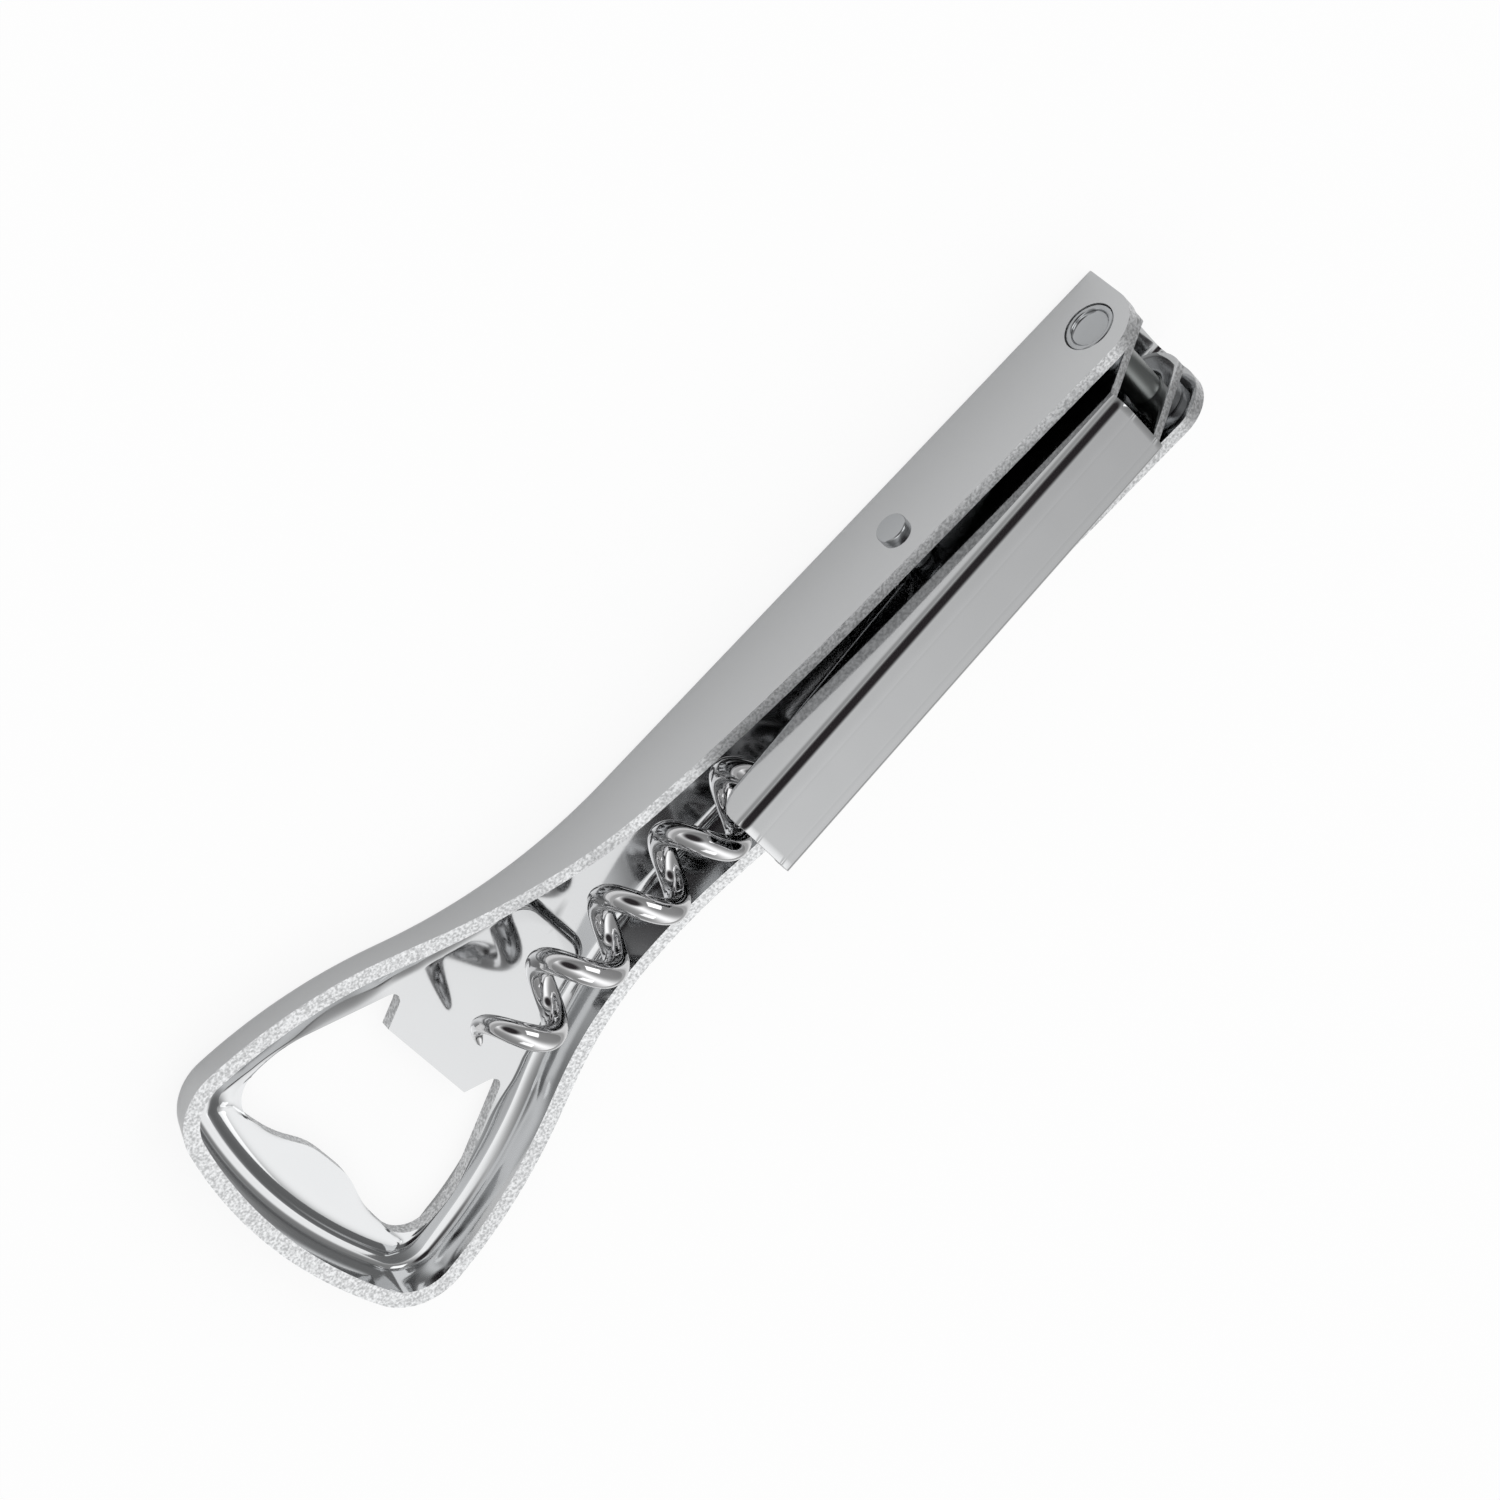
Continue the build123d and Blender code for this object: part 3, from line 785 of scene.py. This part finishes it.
def plate_side():
    """Foot and crest of the plate's side, the crest's height and slope, and the crown's power.

    By at_end the crest moves inwards round the head's end, and by at_side foot and crest follow
    the opening's edge along its sides, until the lip begins.
    """
    foot = plate_outline(roll_foot, across_x)
    crest = plate_outline(roll_crest, across_x + roll_across, roll_corner)
    at_end = eased(crest[:, 0], end_crest_from, end_crest_to)[:, None]
    crest = mix(crest, plate_outline(end_crest, across_x + roll_across, roll_corner), at_end)
    row = np.arange(plate_count)
    leaves_side = int(np.argmax(plate_inner[:, 0] > side_leaves_x))
    on_lip = int(np.argmax((row > leaves_side) & (plate_inner[:, 1] < lip_within_y)))
    at_side = eased(plate_inner[:, 0], side_from, side_to) * (1 - eased(row, leaves_side, on_lip))
    at_side[:middle_points + tooth_points] = 0
    at_side = at_side[:, None]
    outwards = foot - plate_inner
    outwards /= np.hypot(*outwards.T)[:, None]
    foot = mix(foot, plate_inner + outwards * side_foot, at_side)
    crest = mix(crest, plate_inner + outwards * side_crest, at_side)
    at_end = at_end[:, 0]
    slope = plate_slope * eased(crest[:, 0], slope_from, slope_to) * (1 - end_slope_loss * at_end)
    margin = np.hypot(*(plate_inner - crest).T)
    return foot, crest, plate_top - np.minimum(margin, slope_reach) * slope, slope, 2 + at_end


def up_to_plate(plate, beside, last_x):
    """Puts points on the middle line before a plate's outline, one for each row beside the grip."""
    middle = np.zeros((len(beside) - plate_count, 2))
    middle[:, 0] = np.minimum(beside[:len(middle), 0], last_x)
    return np.concatenate([middle, plate])


def handle_skin():
    """All grids of the handle's far half, then their mirror image."""
    skin = Skin()
    inner, outer = walls(skin)
    foot, crest, crest_height, slope, power = plate_side()
    floor_inner = lift_to(up_to_plate(foot, inner[:, 0], across_x), sheet)
    skin.strip(floor_inner, inner[:, 0], flat_columns)
    skin.grid(roll(foot, crest, crest_height, slope, power))
    plate_edge = lift_to(plate_inner, plate_top)
    skin.strip(lift_to(crest, crest_height), plate_edge, flat_columns)

    hollow_foot, hollow_crest = mix(foot, crest, hollow_from), mix(foot, crest, hollow_to)
    back = lift_to(up_to_plate(hollow_foot, outer[:, 0], hollow_foot[0, 0]), 0.0)
    skin.strip(back, outer[:, 0], flat_columns)
    skin.grid(step_below(hollow_foot, hollow_crest))
    below_inner = plate_inner.copy()
    below_inner[:, 0] = np.maximum(below_inner[:, 0], hollow_crest[0, 0])
    below_edge = lift_to(below_inner, plate_rise)
    skin.strip(lift_to(hollow_crest, plate_rise), below_edge, flat_columns)
    skin.strip(plate_edge[middle_points:], below_edge[middle_points:], edge_columns, EDGE)

    share = np.linspace(0, 1, flat_columns + 1)[:-1, None]
    end_paths = [np.concatenate([mix(flat[0], side[0, 0], share), side[0]])
                 for flat, side in ((floor_inner, inner), (back, outer))]
    skin.strip(*end_paths, edge_columns, EDGE)
    skin.mirrored()
    return skin


handle = handle_skin().piece("handle_pressing", [bright_chrome, sheared_edge])
rounded_edges(handle, 0.16)
stands_for(handle, "frame", "chromed_handle", "handle")

# %% [markdown]
# ## Boot lever
# The lever is a thinner channel, open downwards, whose two flanges end in round ears on the rivet.
# Its outer face alone is worked out: half the spine, one bend, one flange. The flat flange is
# ruled between the bend and its free edge, and the ear is a fan of quads round the rivet's hole.
# The die left a very shallow line along each side of the spine, which a mirror still shows. A
# Solidify modifier then gives the sheet its thickness inwards, which is how sheet really bends:
# the outer radius is the inner one and the thickness.

# %% Boot lever
lever_half, lever_sheet, lever_bend = 8.66 / 2, 1.0, 1.9
lever_tilt = radians(3.35)
spine_start, spine_height, foot_end, foot_depth, foot_corner = 7.5, 14.28, 60.5, 4.75, 2.4
ear_radius, ear_cut_angle, ear_cut_offset = 4.15, radians(34.3), 3.05
sleeve_radius, flange_gap, ear_hole = 2.15, 0.2, 1.75
ear_chord = 3.6
die_mark_y, die_mark_half, die_mark_depth = 2.0, 0.14, 0.03
ear_rows, spine_rows, flange_columns = 5, 59, 8


def side_points(curve, y):
    """Points (n, 2) of x and z at a distance y from the middle plane, as (n, 3)."""
    return np.column_stack([curve[:, 0], np.full(len(curve), y), curve[:, 1]])


def lever_skin():
    """Outer face of the lever's far half, then its mirror image.

    The flange's free edge runs from the foot up to a knee over the sleeve on the worm's pin, and
    from there along the tangent to the round ear.
    """
    skin = Skin()
    along = np.array([cos(lever_tilt), sin(lever_tilt)])
    down = np.array([along[1], -along[0]])
    start = np.array([x_pivot + spine_start, spine_height])
    spine_length = (foot_end - spine_start) / along[0]
    chord_at = ear_chord / spine_length
    shares = np.concatenate([up_to(0, chord_at, ear_rows + 1),
                             np.linspace(chord_at, 1, spine_rows + 1)])
    top = start + along * (spine_length * shares)[:, None]
    flat_half = lever_half - lever_bend
    across = np.unique(np.concatenate([np.linspace(0, flat_half, 7),
                                       die_mark_y + die_mark_half * np.linspace(-1, 1, 7)]))
    depth = die_mark_depth * np.clip(1 - np.abs(across - die_mark_y) / die_mark_half, 0, 1)
    skin.grid(np.stack([side_points(top + down * d, y) for y, d in zip(across, depth)], 1))
    skin.grid(np.stack([side_points(top + down * lever_bend * (1 - cos(a)),
                                    flat_half + lever_bend * sin(a))
                        for a in np.linspace(0, pi / 2, 12)], 1))

    hinge = np.array([rivet_x, rivet_z])
    bend_foot = top + down * lever_bend
    heel = start + along * spine_length + down * foot_depth
    over_sleeve = np.array([pin_x, pin_z + sleeve_radius + flange_gap])
    edge = (over_sleeve - heel) / np.linalg.norm(over_sleeve - heel)
    knee = over_sleeve + edge * (sleeve_radius + flange_gap)
    cut = np.array([cos(ear_cut_angle), sin(ear_cut_angle)])
    on_cut = hinge + np.array([-cut[1], cut[0]]) * ear_cut_offset
    ear_corner = on_cut - cut * sqrt(ear_radius**2 - ear_cut_offset**2)
    reach = knee - hinge
    bottom_angle = atan2(reach[1], reach[0]) - acos(ear_radius / np.linalg.norm(reach))
    ear_bottom = hinge + ear_radius * np.array([cos(bottom_angle), sin(bottom_angle)])
    chord_top = bend_foot[ear_rows]
    under = knee - ear_bottom
    chord_bottom = ear_bottom + under * (chord_top[0] - ear_bottom[0]) / under[0]

    free = [line(chord_bottom, knee, up_to(0, 1, 30)),
            line(knee, heel + edge * foot_corner, up_to(0, 1, 40))]
    corner = [heel + edge * foot_corner * (1 - sin(a)) - down * foot_corner * (1 - cos(a))
              for a in np.linspace(0, pi / 2, 14)]
    free_edge = resampled(np.concatenate([*free, np.array(corner)]), [knee], spine_rows + 1)
    skin.strip(side_points(bend_foot[ear_rows:], lever_half), side_points(free_edge, lever_half),
               flange_columns)

    ear_start = atan2(*(ear_corner - hinge)[::-1])
    sweep = np.linspace(ear_start, bottom_angle % (2 * pi), 34)
    border = np.concatenate([
        bend_foot[ear_rows:0:-1], line(bend_foot[0], ear_corner, up_to(0, 1, 12)),
        arc(hinge, ear_radius, sweep)[:-1],
        line(ear_bottom, chord_bottom, up_to(0, 1, 5)),
        line(chord_bottom, chord_top, np.linspace(0, 1, flange_columns + 1))])
    towards = np.unwrap(np.arctan2(border[:, 1] - hinge[1], border[:, 0] - hinge[0]))
    hole = arc(hinge, ear_hole, towards)
    skin.strip(side_points(border, lever_half), side_points(hole, lever_half), 4)
    skin.mirrored()
    return skin


lever = lever_skin().piece("boot_lever_pressing", [bright_chrome, sheared_edge])
# An open skin has no inside yet, so its faces are turned to look up before it gets its thickness.
if sum(p.area * p.normal.z for p in lever.data.polygons) < 0:
    lever.data.flip_normals()
wall = lever.modifiers.new("sheet_thickness", "SOLIDIFY")
wall.thickness, wall.offset, wall.use_even_offset = lever_sheet * MM, -1.0, True
wall.material_offset_rim = EDGE
rounded_edges(lever, 0.07)
stands_for(lever, "lever", "chromed_lever", "boot_lever")

# %% [markdown]
# ## Worm
# The worm is a hard wire that is bent cold: an eye round its pin, a straight shank, a short run out
# to the full radius and a right-handed helix that is ground to a point. Its centre line is one
# formula, so the wire is a tube of circles across that line. The circles must not twist, so each
# frame is turned from the last by the smallest angle, which for a helix is its own steady frame.

# %% Worm
wire_radius = 2.55 / 2
coil_radius = 8.13 / 2 - wire_radius
worm_pitch, worm_length, worm_phase = 8.3, 61.8, radians(10)
worm_tilt = radians(0.66)
shank_length, lead_in, tip_turns, tip_radius, start_rounding = 18.0, 6.6, 0.5, 0.12, 0.2
pin_radius, running_gap = 1.5, 0.05
eye_radius, eye_sweep = pin_radius + running_gap + wire_radius, radians(268)
eye_points, shank_points, points_per_turn = 80, 24, 72


def worm_line():
    """Centre line and wire radius. After the eye's arc it is a helix of radius r(s) along s.

    r grows over the lead-in by 3 u^2 - 2 u^3. The wire's radius falls by a square root to the tip.
    """
    turn = up_to(eye_sweep, 0, eye_points)
    eye = eye_radius * np.column_stack([-np.sin(turn), 0 * turn, np.cos(turn)])
    s = np.concatenate([up_to(0, shank_length, shank_points),
                        np.arange(shank_length, worm_length, worm_pitch / points_per_turn),
                        [worm_length]])
    r = coil_radius * eased(s, shank_length, shank_length + lead_in)
    angle = worm_phase + 2 * pi * (s - worm_length) / worm_pitch
    coil = np.column_stack([s, r * np.sin(angle), eye_radius - r * np.cos(angle)])
    point = np.clip((worm_length - s) / (tip_turns * worm_pitch), 0, 1)
    radius = tip_radius + (wire_radius - tip_radius) * np.sqrt(point)
    centre = np.concatenate([eye, coil])
    return centre, np.concatenate([np.full(len(eye), wire_radius), radius])


def tube(centre, radius, around=40):
    """Circles across a line: each circle's first direction is the last one's, made square again."""
    tangent = np.gradient(centre, axis=0)
    tangent /= np.linalg.norm(tangent, axis=1)[:, None]
    side = np.zeros_like(tangent)
    side[0] = (0.0, 1.0, 0.0)
    for k in range(1, len(centre)):
        kept = side[k - 1] - tangent[k] * (side[k - 1] @ tangent[k])
        side[k] = kept / np.linalg.norm(kept)
    other = np.cross(tangent, side)
    angles = np.linspace(0, 2 * pi, around + 1)
    ring = side[:, None] * np.cos(angles)[:, None] + other[:, None] * np.sin(angles)[:, None]
    return centre[:, None] + ring * radius[:, None, None], tangent


def closed_tube(centre, radius, round_off):
    """The tube with both ends closed: a flat lightly rounded start and a ball at the tip."""
    body, tangent = tube(centre, radius)
    lift = np.linspace(0, pi / 2, 6)
    hub = centre[0] - tangent[0] * round_off
    flat = [hub + (body[0] - centre[0]) * (1 - round_off / radius[0] * (1 - cos(a)))
            + tangent[0] * round_off * (1 - sin(a)) for a in lift[::-1]]
    start = np.stack([np.broadcast_to(hub, body[0].shape), *flat[:-1]])
    ball = [centre[-1] + (body[-1] - centre[-1]) * cos(a) + tangent[-1] * radius[-1] * sin(a)
            for a in lift[1:]]
    return np.concatenate([start, body, np.stack(ball)])


def placed_on_pin(points, x, z, tilt):
    """Turns points about the pin's axis by the tilt, the tip downwards, and moves them to it."""
    c, s = cos(tilt), sin(tilt)
    return points @ np.array([[c, 0, -s], [0, 1, 0], [s, 0, c]]) + np.array([x, 0.0, z])


worm_grid = placed_on_pin(closed_tube(*worm_line(), start_rounding), pin_x, pin_z, worm_tilt)
worm = Skin(worm_grid).piece("worm_wire", [bright_wire], sharp_degrees=60)
stands_for(worm, "corkscrew", "plated_wire", "worm")

# %% [markdown]
# ## Pins and rings
# What turns on a lathe is a profile spun about an axis, so one function makes them all. The rivet
# is upset: its ends swell into the holes and keep a dished floor with a round lip, and the shank
# between the walls is darker and more blurred steel. The worm's pin has two low heads. Washers and
# sleeves are plain rings with broken edges.

# %% Turned pieces
side_gap, broken_edge = 0.05, 0.12
washer_bore, washer_radius, sleeve_bore = 1.75, 2.9, pin_radius + running_gap


def turned(profile, x, z, around=96):
    """Spins a profile of (distance along Y, radius) pairs about the line through (x, z)."""
    profile = np.array(profile, float)
    angles = np.linspace(0, 2 * pi, around + 1)
    return np.stack([np.column_stack([x + profile[:, 1] * cos(a), profile[:, 0],
                                      z + profile[:, 1] * sin(a)]) for a in angles], 1)


def quarter_round(y, radius, size):
    """Profile of a rounded corner, from its side at that radius to its face at y."""
    return [(y - size + size * cos(a), radius - size + size * sin(a))
            for a in np.linspace(pi / 2, 0, 6)]


def both_ends(half):
    """A profile from the middle plane out to the axis, with its mirror image before it."""
    return [(-y, r) for y, r in half[::-1]] + half


def ring_piece(node, x, z, bore, radius, inside, end):
    """A ring with broken edges between what is inside it and the wall, as one closed profile."""
    low, high = sorted((end * (inside + side_gap), end * (grip_half - sheet - side_gap)))
    size = broken_edge
    profile = [(low + size, bore), (high - size, bore), (high, bore + size),
               (high, radius - size), (high - size, radius), (low + size, radius),
               (low, radius - size), (low, bore + size), (low + size, bore)]
    holder = Skin(turned(profile, x, z)).piece(node + "_turned", [turned_steel], sharp_degrees=30)
    stands_for(holder, "frame", "steel_ring", node)


# The rivet's profile as depth under the wall's face and radius: shank, round lip, dished floor.
rivet_shank, rivet_head, dish, dish_slope, lip_depth = 1.7, 2.62, 1.75, 0.25, 0.3
lip_middle, lip_half = (rivet_head + dish + dish_slope) / 2, (rivet_head - dish - dish_slope) / 2
shank = [(0.35, rivet_head - 0.05), (1.1, rivet_shank)]
end_face = [(lip_depth * (1 - sin(a)), lip_middle + lip_half * cos(a))
            for a in np.linspace(0, pi, 14)]
end_face += [(0.42, dish + 0.12), (0.46, dish), (0.50, 0.8), (0.51, 0.0)]
rivet_skin = Skin()
shank_out = [(grip_half - depth, radius) for depth, radius in shank[::-1]]
rivet_skin.grid(turned(both_ends(shank_out), rivet_x, rivet_z), 1)
for end in (1, -1):
    profile = [(end * (grip_half - depth), radius) for depth, radius in shank[:1] + end_face]
    rivet_skin.grid(turned(profile, rivet_x, rivet_z))
rivet = rivet_skin.piece("pivot_rivet_turned", [turned_steel, dull_steel], sharp_degrees=50)
stands_for(rivet, "frame", "plated_pin", "pivot_rivet")

pin_head, pin_proud, head_rounding = 1.62, 0.65, 0.22
pin_half = [(0.0, pin_radius), (grip_half - 0.02, pin_radius), (grip_half, pin_radius),
            (grip_half + 0.01, pin_head)]
pin_half += quarter_round(grip_half + pin_proud, pin_head, head_rounding)
pin_half += [(grip_half + pin_proud, 0.0)]
pin_grid = turned(both_ends(pin_half), pin_x, pin_z)
pin = Skin(pin_grid).piece("worm_pin_turned", [turned_steel], sharp_degrees=50)
stands_for(pin, "frame", "plated_pin", "worm_pin")

for side, end in (("far", 1), ("near", -1)):
    ring_piece(f"pivot_washer_{side}", rivet_x, rivet_z, washer_bore, washer_radius,
               lever_half, end)
    ring_piece(f"worm_sleeve_{side}", pin_x, pin_z, sleeve_bore, sleeve_radius, wire_radius, end)
